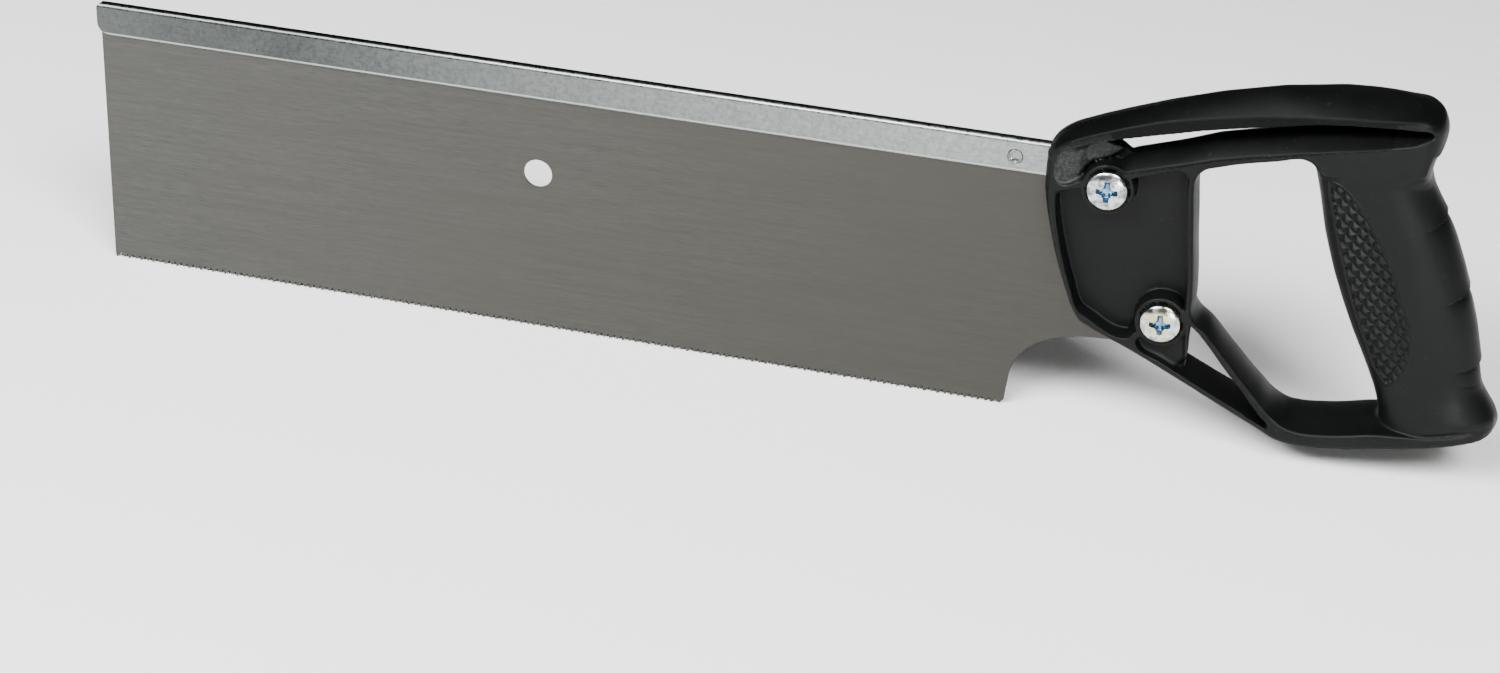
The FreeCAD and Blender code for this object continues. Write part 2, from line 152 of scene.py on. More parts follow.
def table(pairs, smooth=1.2, lo=350.0, hi=545.0, step=0.25):
    """A smooth function of one number through the given pairs."""
    k = np.array(sorted(pairs), float)
    g = np.arange(lo, hi + step, step)
    v = np.interp(g, k[:, 0], k[:, 1])
    if smooth:
        r = int(4 * smooth / step)
        w = np.exp(-0.5 * (np.arange(-r, r + 1) * step / smooth) ** 2)
        w /= w.sum()
        v = np.convolve(np.pad(v, r, mode="edge"), w, "valid")
    return lambda x: np.interp(x, g, v)


def step01(x, a, b):
    t = np.clip((x - a) / (b - a), 0, 1)
    return t * t * (3 - 2 * t)


def rmax(a, b, r):
    """Intersection with a rounded edge of radius r."""
    return np.minimum(np.maximum(a, b), -r) + np.hypot(np.maximum(a + r, 0), np.maximum(b + r, 0))


def rmin(a, b, r):
    """Union with a rounded inside corner of radius r."""
    return np.maximum(np.minimum(a, b), r) - np.hypot(np.maximum(r - a, 0), np.maximum(r - b, 0))


# ---------------------------------------------------------- surface from field
def surface_net(f, xs, ys, zs):
    """Quads around the zero level of f on a grid, one vertex in each cell."""
    s = f < 0
    nx, ny, nz = f.shape
    cx, cy, cz = nx - 1, ny - 1, nz - 1
    total = cx * cy * cz
    sums = np.zeros((3, total))
    count = np.zeros(total)
    quads = []
    for ax in range(3):
        lo = [slice(None)] * 3
        hi = [slice(None)] * 3
        lo[ax], hi[ax] = slice(0, -1), slice(1, None)
        lo, hi = tuple(lo), tuple(hi)
        m = s[lo] != s[hi]
        i, j, k = np.nonzero(m)
        f0, f1 = f[lo][m], f[hi][m]
        t = f0 / (f0 - f1)
        base = [xs[i], ys[j], zs[k]]
        nxt = (i, j, k)[ax] + 1
        c = (xs, ys, zs)[ax]
        base[ax] = base[ax] + t * (c[nxt] - base[ax])
        p = np.array(base)
        o1, o2 = [(1, 2), (2, 0), (0, 1)][ax]
        idx = [i, j, k]
        ids = []
        ok = np.ones(len(i), bool)
        lim = (cx, cy, cz)
        for d1, d2 in ((-1, -1), (0, -1), (0, 0), (-1, 0)):
            c1, c2 = idx[o1] + d1, idx[o2] + d2
            ok &= (c1 >= 0) & (c1 < lim[o1]) & (c2 >= 0) & (c2 < lim[o2])
            cell = [None] * 3
            cell[ax], cell[o1], cell[o2] = idx[ax], c1, c2
            ids.append((cell[0] * cy + cell[1]) * cz + cell[2])
        inside_lo = s[lo][m]
        ids = np.array(ids)[:, ok]
        pp = p[:, ok]
        for r in range(4):
            for q in range(3):
                sums[q] += np.bincount(ids[r], pp[q], total)
            count += np.bincount(ids[r], minlength=total)
        flip = ~inside_lo[ok]
        ids[:, flip] = ids[::-1, flip]
        quads.append(ids.T)
    quads = np.vstack(quads)
    used = np.nonzero(count)[0]
    remap = np.full(total, -1)
    remap[used] = np.arange(len(used))
    verts = (sums[:, used] / count[used]).T
    return verts, remap[quads]


def gradient(field, v, e=0.12):
    g = np.empty_like(v)
    for q in range(3):
        a, b = v.copy(), v.copy()
        a[:, q] += e
        b[:, q] -= e
        g[:, q] = (field(*a.T) - field(*b.T)) / (2 * e)
    return g


def settle(field, v, faces, rounds=3, relax=0.5, cap=0.35, e=0.12):
    """Even out the vertices along the surface and put them on the zero level."""
    a, b = faces.ravel(), np.roll(faces, -1, 1).ravel()
    n = len(v)
    deg = np.maximum(np.bincount(a, minlength=n) + np.bincount(b, minlength=n), 1)
    for r in range(rounds + 2):
        g = gradient(field, v, e)
        gl = np.maximum(np.linalg.norm(g, axis=1), 0.35)
        d = field(*v.T)
        v = v - g * np.clip(d / gl ** 2, -cap, cap)[:, None]
        if r < rounds and relax:
            av = np.stack([(np.bincount(a, v[b, q], n) + np.bincount(b, v[a, q], n)) / deg
                           for q in range(3)], 1)
            nrm = g / gl[:, None]
            mv = (av - v) * relax
            mv -= nrm * np.sum(mv * nrm, 1)[:, None]
            v = v + mv
    return v


def mesh_object(name, verts_mm, faces, normals=None, smooth=True):
    me = bpy.data.meshes.new(name)
    v = to_row(verts_mm)
    if isinstance(faces, np.ndarray):
        faces = faces.tolist()
    me.from_pydata(v.tolist(), [], faces)
    me.validate(clean_customdata=False)
    me.update()
    me.polygons.foreach_set("use_smooth", [smooth] * len(me.polygons))
    if normals is not None and len(normals) == len(me.vertices):
        me.normals_split_custom_set_from_vertices(normals.tolist())
    me.update()
    ob = bpy.data.objects.new(name, me)
    bpy.context.scene.collection.objects.link(ob)
    return ob


# ------------------------------------------------------------------ the handle
HALF = [(361.75, 4.4), (362.7, 6.6), (364.5, 8.4), (368, 9.6), (376, 10.0), (391, 10.0),
        (420, 10.2), (440, 10.8), (448, 11.6), (456, 13.0), (464, 13.9), (475, 14.3),
        (490, 14.6), (505, 14.6), (514, 13.9), (521, 12.2), (526, 9.4), (529, 5.6), (530.2, 0.0)]
HALF_HOOD = HALF[:11] + [(480, 14.3), (486, 14.2), (490, 13.2), (493, 10.6), (495, 6.6), (495.9, 0.0)]


def plan_outline(half):
    near = [(x, -y) for x, y in half]
    far = [(x, y) for x, y in reversed(half) if y > 0]
    pts = [near[0] + (1,)] + near[1:] + far[:-1] + [far[-1] + (1,)]
    return curve(pts, 0.6)


OUTLINE = [
    (363.4, -1.8), (365.6, 0.4), (368.4, 2.2), (372, 4.2), (380, 8.0), (388, 11.2), (396, 14.0),
    (404, 16.3), (412, 18.1), (420, 19.8), (440, 23.2), (460, 27.2), (480, 29.6), (488, 30.4),
    (492.6, 29.6), (494.8, 26.6), (494.3, 23.0), (492.6, 18.6), (491.4, 14.0), (491.2, 10.0),
    (491.8, 7.0, 1),
    (456.0, 7.0, 1), (452.6, 10.7), (450.0, 11.4), (440, 8.9), (430, 6.3), (421.6, 4.0),
    (417.8, 2.2), (415.0, -0.6), (414.0, -3.6), (414.1, -7.5), (415.3, -18), (416.7, -30), (418.1, -41.0),
    (418.7, -48.0), (419.2, -54.5), (420.8, -57.2), (426, -61.4), (434, -69.9), (446, -82.4),
    (453.4, -89.2), (457.2, -91.2), (462, -91.9), (470, -91.3), (478, -89.9), (482, -88.9), (486, -87.9), (496, -86.6), (508, -85.6, 1),
    (524, -82.0, 1), (529.2, -80.4), (529.0, -82.6), (526.0, -84.6), (520, -86.2), (510, -88.6),
    (500, -91.0), (490, -93.2), (480, -95.2), (468, -96.9), (460, -97.2), (454, -96.4),
    (448, -94.0), (440, -90.6), (420, -81.2), (410, -76.5), (400, -71.9), (384, -65.2),
    (381.0, -63.6), (378.6, -60.6), (375, -53.0), (370, -40.0), (366.0, -27.0), (363.9, -19.0),
    (362.7, -10.0), (362.5, -5.4)]
SLOT = [
    (366.6, -1.0), (367.0, 0.8), (368.6, 1.9), (372, 3.3), (376, 5.0), (380, 6.4), (384, 7.8),
    (387, 8.6), (390, 9.4), (394, 10.5), (400, 12.2), (406, 13.8), (412, 15.5), (420, 17.5),
    (430, 19.8), (440, 22.0), (455, 25.7), (475, 28.2), (484, 28.7), (489.4, 28.4), (491.4, 27.0),
    (490.6, 25.0), (485, 22.9), (475, 20.2), (460, 16.6), (440, 11.0), (420, 5.9), (412, 3.0),
    (404, 0.5), (396, -2.0), (388, -4.6), (376, -9.0), (368.4, -11.8), (366.6, -10.8)]
CHEEK = [
    (366.9, -14.8, 1), (376, -11.4), (393, -5.4), (400, -2.9), (409.8, 0.0), (411.5, -1.4),
    (412.3, -8.0), (414.4, -25.0), (416.4, -41.0), (417.0, -49.0), (416.9, -53.0),
    (408.6, -58.4, 1), (400.4, -64.6, 1), (397.6, -67.4), (396.0, -67.5), (383.4, -62.0), (380.4, -60.2),
    (375.6, -50.0), (370.6, -35.0), (367.4, -21.0)]
THROAT = [
    (409.8, -59.6, 1), (418.6, -57.6), (420.6, -58.9), (424, -62.0), (428, -66.3), (432, -71.0),
    (436, -75.5), (440, -79.5), (444, -84.0), (448, -88.5), (451.6, -92.4), (450.8, -93.3),
    (449.4, -92.8), (440, -88.5), (430, -83.9), (420, -79.1), (410, -74.2), (402.8, -70.9),
    (401.6, -69.2)]
WEB = [
    (364.2, -1.0), (366.2, 3.6), (372, 6.8), (375.4, 8.8, 1), (377.8, 7.5), (380.0, 6.6), (382.6, 5.5), (387.0, 3.5), (389.6, 2.2), (392.4, 0.4, 1),
    (394.0, -3.4), (412.6, 1.4), (414.2, -4.0), (417.4, -30), (419.0, -50.0), (419.2, -57.0),
    (419.0, -80.2, 1), (410, -76.0), (400, -71.2), (384.0, -64.4), (380.4, -61.4), (376.0, -52.0),
    (370.0, -37.0), (366.0, -24.0), (364.2, -10.0)]
SOCKET = [(358.0, -17.0, 1), (369.5, -15.2), (372.8, -12.8), (374.6, -9.2), (375.8, -6.0), (377.6, -3.4), (380.6, -1.9),
          (384.4, -0.5), (387.4, 1.4), (389.4, 3.2, 1), (384.0, 8.6, 1), (378.0, 6.2),
          (372.0, 3.7), (368.0, 1.5), (364.8, -1.4, 1), (358.0, -4.0, 1)]
GUSSET = [(371.5, 1.6), (374.8, 2.6), (378.6, 4.6), (382.4, 6.4), (386.0, 8.4), (385.0, 9.4), (379, 7.6), (370, 3.4)]
SKIRT = [(399.0, -64.0), (402.4, -71.0), (409.0, -75.6), (416.0, -78.2), (418.9, -75), (418.8, -68), (418.0, -60.0), (409, -56)]
FLANGE = [
    (384.0, -7.6, 1), (393, -5.0), (400, -2.5), (411.0, 0.8), (416.6, 2.0), (430, 6.4), (440, 9.0),
    (452.0, 11.8), (458, 10.0, 1), (490.6, 8.0, 1), (490.4, 13.0), (491.4, 18.6), (492.8, 23.0), (493.4, 27.0, 1), (493, 45, 1), (384, 45, 1)]
HOOD = [
    (360.0, -3.0, 1), (365.8, -2.4), (366.9, 0.6), (368.6, 1.9), (372, 3.3), (376, 5.0), (380, 6.4),
    (384, 7.6), (387, 8.6), (390, 9.4), (394, 10.5), (400, 12.2), (406, 13.8), (412, 15.5),
    (420, 17.5), (430, 19.8), (440, 22.0), (455, 25.8), (475, 28.2), (484, 28.7), (490, 28.2), (491.2, 24.0),
    (490.8, 19.6, 1), (493.4, 18.8), (495.0, 22.4), (495.8, 26.0), (496.4, 31.0, 1), (500, 60, 1), (360, 60, 1)]
PANEL = [(459.4, 4.6), (463.0, 4.6), (466.0, 2.8), (470, -1), (478, -12), (484, -22), (489, -33),
         (493, -42), (495.6, -52), (495.2, -60), (493, -66), (490, -69), (487, -66.4), (480, -53.4),
         (473, -38), (467, -22), (462.0, -7), (459.6, 1.4)]

TRIM = [(350, 70, 1), (540, 70, 1), (496.6, 33.0, 1), (494.9, 26.6), (494.4, 23.0), (492.7, 18.6), (491.5, 14.0), (491.4, 10.0),
        (493.2, 5.0), (496.2, 0.0), (500.0, -6.0), (504.0, -14.0), (508.4, -24.0), (512.2, -34.0), (516.0, -45.0),
        (519.2, -57.0), (519.9, -62.0), (521.6, -68.0), (524.4, -72.0), (527.9, -77.0), (529.0, -80.4), (528.3, -82.8),
        (525.4, -84.8), (520, -86.4), (510, -88.7), (500, -91.0), (490, -93.2), (480, -95.2), (468, -96.9), (460, -97.2),
        (454, -96.4), (448, -94.0), (440, -90.6), (420, -81.2), (410, -76.5), (400, -71.9), (350, -50.0, 1)]

half_w = table(HALF, 0.8)
lip_z = table([(361, -3.6), (361.8, -2.2), (362.6, -0.8), (364, 1.0), (366, 2.5), (368, 3.6), (372, 5.8), (376, 7.5), (380, 9.3),
               (384, 10.8), (388, 12.4), (392, 13.8), (396, 15.1), (400, 16.4), (404, 17.4),
               (408, 18.3), (412, 19.2), (416, 20.1), (440, 24.2), (460, 28.4), (480, 30.8),
               (488, 31.6), (493, 31.0), (497, 29.5)])
crest_z = table([(361, -3.2), (361.8, -1.4), (362.6, 0.4), (364, 2.6), (366, 4.6), (368, 6.3), (370, 7.8), (380, 12.4), (390, 16.6),
                 (400, 20.6), (405, 22.5), (420, 27.6), (440, 32.8), (460, 35.7), (470, 36.1), (477, 35.8),
                 (485, 34.4), (490, 32.4), (494, 29.8), (498, 27.0)])
slot_low = table([(380, -7.4), (388, -4.6), (391.5, -3.4), (396, -2.0), (400, -0.7), (404, 0.5), (412, 3.0),
                  (416, 4.4), (420, 5.9), (440, 10.8), (460, 16.7), (475, 20.2), (485, 22.9), (491, 26.0),
                  (496, 28)])
flange_crown = table([(384, 0.3), (391.5, 5.2), (400, 5.3), (408, 5.6), (416, 6.1), (424, 6.4), (440, 6.4), (460, 5.8),
                      (475, 4.6), (485, 3.0), (492, 1.0), (500, 0.5)])
grip_front = table([(-95, 489.6), (-84, 489.2), (-78, 487.5), (-72, 485), (-62, 480), (-53, 475.2), (-42, 470),
                    (-31, 465.2), (-17, 460.2), (-5, 457), (2, 455), (6.5, 453.4), (12, 452.0), (22, 451.0),
                    (40, 451)], 2.0, -110, 60)
grip_back = table([(-95, 522), (-88.5, 525), (-85, 530.0), (-81, 531.0), (-77, 529.2), (-72, 525.6),
                   (-68, 522.8), (-62, 521.1), (-57, 520.4), (-45, 517.2), (-34, 513.4), (-24, 509.6),
                   (-14, 505.2), (-6, 501.2), (0, 497.4), (5, 494.4), (10, 492.8), (22, 492), (40, 492)],
                  1.3, -110, 60)
grip_w = table([(-95, 12.6), (-89, 13.0), (-85, 13.7), (-81, 13.7), (-77, 12.9), (-72, 12.1), (-66, 11.9), (-60, 12.5), (-52, 13.5), (-38, 14.3), (-14, 14.5), (0, 14.3), (10, 14.1), (40, 13.9)],
               2.0, -110, 60)

under_z = table([(450, -96), (468, -96.9), (480, -95.2), (490, -93.2), (500, -91.0), (510, -88.7), (520, -86.4),
                 (525, -84.9), (528, -83.0), (532, -80.0)])

strap_z = table([(480, -88.4), (486, -87.9), (496, -86.6), (508, -85.6), (524, -82.0), (529.2, -80.4), (532, -80.0)])

PLAN_MAP = Map(plan_outline(HALF), 358, 534, -18, 18, 0.4)
PLAN_HOOD_MAP = Map(plan_outline(HALF_HOOD), 358, 534, -18, 18, 0.4)
AREA = (356, 536, -102, 44)
MAPS = {k: Map(curve(v), *AREA) for k, v in
        dict(out=OUTLINE, slot=SLOT, cheek=CHEEK, throat=THROAT, web=WEB, socket=SOCKET,
             flange=FLANGE, hood=HOOD, panel=PANEL, gusset=GUSSET, skirt=SKIRT, trim=TRIM).items()}


def superellipse(x, y, cx, a, w, n=2.35):
    u, v = np.abs(x - cx) / a, y / w
    s = np.maximum(u ** n + v ** n, 1e-6)
    g = s ** (1 / n)
    k = s ** (1 / n - 1)
    gx, gy = k * u ** (n - 1) / a, k * v ** (n - 1) / w
    return (g - 1) / np.maximum(np.hypot(gx, gy), 1e-4)


def handle_base(x, y, z):
    y = np.abs(y)
    W = half_w(x)
    q = 1 - np.clip(y / W, 0, 1.15) ** 2
    plan_a, plan_h = PLAN_MAP(x, y), PLAN_HOOD_MAP(x, y)
    th = step01(z, -1.0, 9.0)
    plan = plan_a + (plan_h - plan_a) * th
    crown = 1.3
    rear = step01(x, 494, 510) * step01(-z, 66, 80)
    horn = step01(x, 476, 492) * th
    out = MAPS["out"](x, z) - crown * q
    frame_ = rmax(out, plan, 1.5 - 0.6 * rear + 1.5 * horn)
    fr, bk, gw = grip_front(z), grip_back(z), grip_w(z)
    gw = gw + 0.9 * step01(x, 496, 514) * step01(-z, 71, 82)
    oval = superellipse(x, y, (fr + bk) / 2, (bk - fr) / 2, gw) * 0.93
    room = -0.4 + 14.4 * step01(z, 5, 27) + 6.0 * step01(-x, -476, -464)
    frame_ = rmax(frame_, np.where((z > -30) & (x > 462), oval - room, -9.0), 0.8)
    slot, cheek, throat = MAPS["slot"](x, z), MAPS["cheek"](x, z), MAPS["throat"](x, z)
    void = np.minimum(np.minimum(slot + 0.7 * q, cheek + 0.4 * q), throat + 0.4 * q)
    frame_ = rmax(frame_, -void, 0.55)
    # crowned bar under the hood slot
    top = (z - slot_low(x) - flange_crown(x) * q) * 0.86
    bar = rmax(rmax(top, plan, 0.6), MAPS["flange"](x, z) - 0.8 * q, 0.5)
    bar = rmax(bar, np.where((z > -30) & (x > 462), oval - room, -9.0), 0.8)
    d = rmin(frame_, bar, 0.5)
    # hood
    lip, crest = lip_z(x), crest_z(x)
    c = crest - lip
    ty = 2 * c * y / W ** 2
    h_top = (z - lip - c * q) / np.sqrt(1.1 + ty ** 2)
    hood = rmax(rmax(h_top, plan_h, 0.9 + 1.5 * step01(-x, -372, -363) + 3.2 * step01(x, 480, 494)), MAPS["hood"](x, z), 0.55)
    d = rmin(d, hood, 0.8)
    # web, socket for the back, bosses
    web = rmax(MAPS["web"](x, z), y - 2.2, 0.3)
    d = rmin(d, web, 0.7)
    tail = 0.9 * np.exp(-((x - 382.0) / 3.2) ** 2) - 0.7 * np.exp(-((x - 376.4) / 1.5) ** 2)
    sock = rmax(MAPS["socket"](x, z), (y - 9.0 + 0.26 * (x - 366) - tail) * 0.95, 1.3)
    sock = rmax(sock, 0.417 * (x - 380.0) + 0.909 * (z - 6.6) + 0.1, 0.5)
    sock = rmax(sock, plan + 0.9, 0.8)
    d = rmin(d, sock, 0.9)
    gus = rmax(MAPS["gusset"](x, z), (y - 8.6 + 0.48 * (x - 373)) * 0.9, 1.2)
    d = rmin(d, gus, 0.9)
    for bx, bz in ((384.8, -11.0), (409.2, -58.8)):
        rr = np.hypot(x - bx, z - bz)
        boss = rmax(rr - 9.3 - 0.035 * (10 - y), y - 10.0, 0.8)
        boss = rmax(boss, -rmax(rr - 7.75, 9.45 - y, 0.15), 0.15)
        d = rmin(d, boss, 0.7)
    skirt = rmax(MAPS["skirt"](x, z), y - 6.0, 2.6)
    d = rmin(d, skirt, 1.8)
    # grip
    g = oval
    trim = MAPS["trim"](x, z) - crown * q
    g = rmax(g, (under_z(x) - z) * 0.97 - crown * q, 0.3 + 3.4 * step01(-z, 72, 84))
    g = rmax(g, z - 20.0 - 0.25 * (x - 470), 3.0)
    # the foot of the grip draws in just above the strap, which shows as a rim
    inset = 1.35 * step01(strap_z(x) - z, -3.6, -0.6) * (1 - step01(x, 516, 526))
    g = rmax(g, plan + inset, 0.5)
    # the smooth joins swell where two faces run together, so trim them back
    d = rmin(d, g, 0.9 + 1.1 * step01(-z, 60, 76) * (1 - 1.1 * step01(x, 487, 494)))
    d = rmax(d, np.where((x > 486) & (z < 26.0), trim, -9.0), 0.4)
    return rmax(d, plan, 0.7)


BARBS = [(-4.0, 1.0), (-30.2, 1.0), (-57.0, 1.0)]


def handle_cuts(x, y, z, d):
    ya = np.abs(y)
    # stepped ridges across the back of the grip
    back = np.where(z > -66, step01(x - (grip_front(z) + grip_back(z)) / 2, 9, 15), 0)
    for zb, _ in BARBS:
        u = z - (zb - 0.10 * ya - 0.018 * ya ** 2)
        fade = 1 - step01(ya, 6.5, 13.0)
        notch = 1.5 * np.exp(-np.maximum(-u, 0) / 2.3) * step01(-u, -0.15, 0.25) * (u > -12)
        lip = 0.30 * np.exp(-np.maximum(u, 0) / 2.6) * step01(u, -0.05, 0.25)
        d = d + back * fade * (notch - lip)
    # slit for the blade's tang, socket for the back, screw bores
    slit = np.maximum(ya - 0.5, np.maximum(x - 405.5 - np.clip(21 - z, 0, 200) * 0.13, z - 60))
    slit = np.maximum(slit, -(z + 82))
    d = rmax(d, -slit, 0.2)
    sock = np.maximum(ya - 2.32, np.maximum(x - 373.0, np.maximum(z - 0.2, -13.5 - z)))
    d = rmax(d, -sock, 0.2)
    for bx, bz in ((384.8, -11.0), (409.2, -58.8)):
        bore = np.hypot(x - bx, z - bz) - 3.1
        d = rmax(d, -bore, 0.2)
    return d


def handle_field(x, y, z):
    return handle_cuts(x, y, z, handle_base(x, y, z))


def tri(s, flat=0.30):
    """Ridge profile: 0 in the groove, 1 on the land."""
    t = np.abs(s - np.round(s)) * 2
    return np.clip((t) / (1 - flat), 0, 1)


def checker(x, z):
    a, b = math.radians(56.5), math.radians(-18.5)
    sa = (x * math.cos(a) + z * math.sin(a)) / 3.12
    sb = (x * math.cos(b) + z * math.sin(b)) / 3.52
    return np.minimum(tri(sa, 0.22), tri(sb, 0.26))


def build_handle():
    h = 0.78
    xs = np.arange(360.2, 531.8, h)
    ys = np.arange(-15.75, 15.76, h)
    zs = np.arange(-99.0, 37.5, h)
    parts = []
    f = np.empty((len(xs), len(ys), len(zs)))
    mid = len(ys) // 2
    for i0 in range(0, len(xs), 24):
        X = xs[i0:i0 + 24, None, None]
        Y = ys[None, mid:, None]
        Z = zs[None, None, :]
        f[i0:i0 + 24, mid:] = handle_field(X, Y, Z)
    f[:, :mid] = f[:, :mid:-1]
    v, q = surface_net(f, xs, ys, zs)
    v = settle(handle_field, v, q, rounds=3)
    # finer faces where the grip is checkered and across the stepped ridges
    me = bpy.data.meshes.new("tmp")
    me.from_pydata(v.tolist(), [], q.tolist())
    bm = bmesh.new()
    bm.from_mesh(me)

    def refine(choose, cuts):
        bm.verts.ensure_lookup_table()
        p = np.array([w.co[:] for w in bm.verts])
        ok = choose(*p.T)
        bm.verts.index_update()
        fs = [fc for fc in bm.faces if all(ok[w.index] for w in fc.verts)]
        edges = list(dict.fromkeys(e for fc in fs for e in fc.edges))
        bmesh.ops.subdivide_edges(bm, edges=edges, cuts=cuts, use_grid_fill=True)

    refine(lambda x, y, z: (MAPS["panel"](x, z) < 1.2) & (y < -5), 2)
    refine(lambda x, y, z: (MAPS["panel"](x, z) < 1.2) & (y > 5), 1)

    def near_barb(x, y, z):
        hit = np.zeros(x.shape, bool)
        for zb, _ in BARBS:
            u = z - (zb - 0.10 * np.abs(y) - 0.018 * y * y)
            hit |= (u > -2.2) & (u < 1.4)
        return hit & (x > (grip_front(z) + grip_back(z)) / 2 + 8) & (np.abs(y) < 12.5)

    refine(near_barb, 2)
    bmesh.ops.triangulate(bm, faces=[fc for fc in bm.faces if len(fc.verts) > 4])
    bm.verts.ensure_lookup_table()
    v = np.array([w.co[:] for w in bm.verts])
    bm.verts.index_update()
    faces = [[w.index for w in fc.verts] for fc in bm.faces]
    bm.free()
    bpy.data.meshes.remove(me)
    near = ((MAPS["panel"](v[:, 0], v[:, 2]) < 2.0) & (np.abs(v[:, 1]) > 4)) | near_barb(*v.T)
    sub = v[near]
    for _ in range(3):
        g = gradient(handle_field, sub, 0.06)
        gl = np.maximum(np.linalg.norm(g, axis=1), 0.35)
        sub = sub - g * np.clip(handle_field(*sub.T) / gl ** 2, -0.3, 0.3)[:, None]
    v[near] = sub

    def relief(x, y, z):
        m = MAPS["panel"](x, z)
        pan = step01(-m, 0.35, 1.0)
        rim = np.exp(-((m - 0.05) / 0.32) ** 2) * 0.30
        return (-0.70 + 1.02 * checker(x, z)) * pan + rim

    n = gradient(handle_field, v)
    n /= np.maximum(np.linalg.norm(n, axis=1), 1e-6)[:, None]
    base = v.copy()
    wide = (MAPS["panel"](v[:, 0], v[:, 2]) < 2.5) & (np.abs(v[:, 1]) > 4)
    lift = np.where(wide, relief(*v.T), 0)
    v = v + n * lift[:, None]
    # shading normals follow the relief
    e = 0.1
    gx = np.where(wide, (relief(base[:, 0] + e, 0, base[:, 2]) - relief(base[:, 0] - e, 0, base[:, 2])) / (2 * e), 0)
    gz = np.where(wide, (relief(base[:, 0], 0, base[:, 2] + e) - relief(base[:, 0], 0, base[:, 2] - e)) / (2 * e), 0)
    n2 = n - np.stack([gx, np.zeros(len(v)), gz], 1)
    n2 /= np.linalg.norm(n2, axis=1)[:, None]
    return mesh_object("grip_handle", v, faces, n2)


handle = build_handle()
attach(handle, "root")
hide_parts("handle")
print("handle faces", len(handle.data.polygons))
CAD_FLOOR = float(CAD_BOX[0][2])


# ------------------------------------------------------------ other hard pieces
def net_piece(name, field, xs, ys, zs, rounds=2, e=0.05, cap=0.15):
    """A closed mesh of the zero level of a field on an uneven grid."""
    f = field(xs[:, None, None], ys[None, :, None], zs[None, None, :])
    f = np.broadcast_to(f, (len(xs), len(ys), len(zs)))
    v, q = surface_net(f, xs, ys, zs)
    v = settle(field, v, q, rounds=rounds, relax=0.4, cap=cap, e=e)
    n = gradient(field, v, e)
    n /= np.maximum(np.linalg.norm(n, axis=1), 1e-6)[:, None]
    return mesh_object(name, v, q, n)


def box2(a, b, a0, a1, b0, b1, r):
    """Rounded rectangle in two directions."""
    return rmax(np.maximum(a0 - a, a - a1), np.maximum(b0 - b, b - b1), r)


BACK_TOE, BACK_END, BACK_LOW = -1.15, 372.5, -13.0


def back_field(x, y, z):
    ya = np.abs(y)
    # across: rounded fold on top, rolled lips below
    d = rmax(ya - 2.2, z, 2.0)
    low = BACK_LOW - z
    lip = (ya - 2.2 + (-(z - BACK_LOW) + 1.5) * 0.62) * 0.85
    d = rmax(d, low, 0.45)
    d = rmax(d, lip, 0.3)
    # a faint rolled line where each leaf turns in
    d = d + 0.10 * np.exp(-((z + 11.5) / 0.35) ** 2) * step01(ya, 1.2, 2.0)
    # toe: small radius on top, wide one below
    cx, cz, r = BACK_TOE + 5.4, BACK_LOW + 5.4, 5.4
    toe = BACK_TOE - x
    corner = np.hypot(np.minimum(x - cx, 0), np.minimum(z - cz, 0)) - r
    inside = (x < cx) & (z < cz)
    toe = np.where(inside, corner, np.where(z < cz, toe, toe))
    d = rmax(d, toe, 0.75)
    cx, cz, r = BACK_TOE + 2.8, -2.8, 2.8
    corner = np.hypot(np.minimum(x - cx, 0), np.maximum(z - cz, 0)) - r
    d = np.maximum(d, np.where((x < cx) & (z > cz), corner, -9))
    d = np.maximum(d, x - BACK_END)
    slot = np.maximum(ya - 0.45, z + 1.8)
    return rmax(d, -slot, 0.1)


def hole_in_back(x, y, z):
    d = back_field(x, y, z)
    r = np.hypot(x - 350.6, z + 7.0)
    return rmax(d, -(r - 2.72), 0.12)


def spread(*runs):
    out = []
    for a, b, n in runs:
        out += list(np.linspace(a, b, n, endpoint=False))
    return np.array(out + [runs[-1][1]])


def half_sym(h, top, first=None):
    v = np.arange(h / 2, top + h, h)
    return np.concatenate([-v[::-1], v])


def build_back():
    xs = spread((-3.1, 4.0, 26), (4.0, 8, 8), (8.0, 345, 110), (345, 347.6, 6), (347.6, 354.4, 26), (354.4, 357, 6),
                (357, 372, 10), (372, 373.2, 4))
    ys = half_sym(0.26, 2.6)
    zs = spread((-14.2, -10.6, 16), (-10.6, -3.0, 26), (-3.0, 0.7, 16))
    return net_piece("folded_back_strip", hole_in_back, xs, ys, zs, rounds=0)


def rivet_field(x, y, z):
    ya = np.abs(y)
    r = np.hypot(x - 350.6, z + 7.0)
    d = rmax(r - 2.62, ya - 2.36, 0.22)
    dish = 0.6 * (1 - np.clip(r / 2.1, 0, 1) ** 2)
    return np.maximum(d, ya - 2.30 + np.where(r < 2.1, dish, 0) - 0.04)


def build_rivet():
    a = np.arange(-2.9, 2.91, 0.14)
    return net_piece("back_stake", rivet_field, 350.6 + a, half_sym(0.14, 2.7), -7.0 + a, rounds=1)


def head_profile(r, R, edge, high):
    """Height of a truss head above its seat at radius r."""
    return edge + (high - edge) * np.sqrt(np.maximum(1 - (r / R) ** 2, 0))


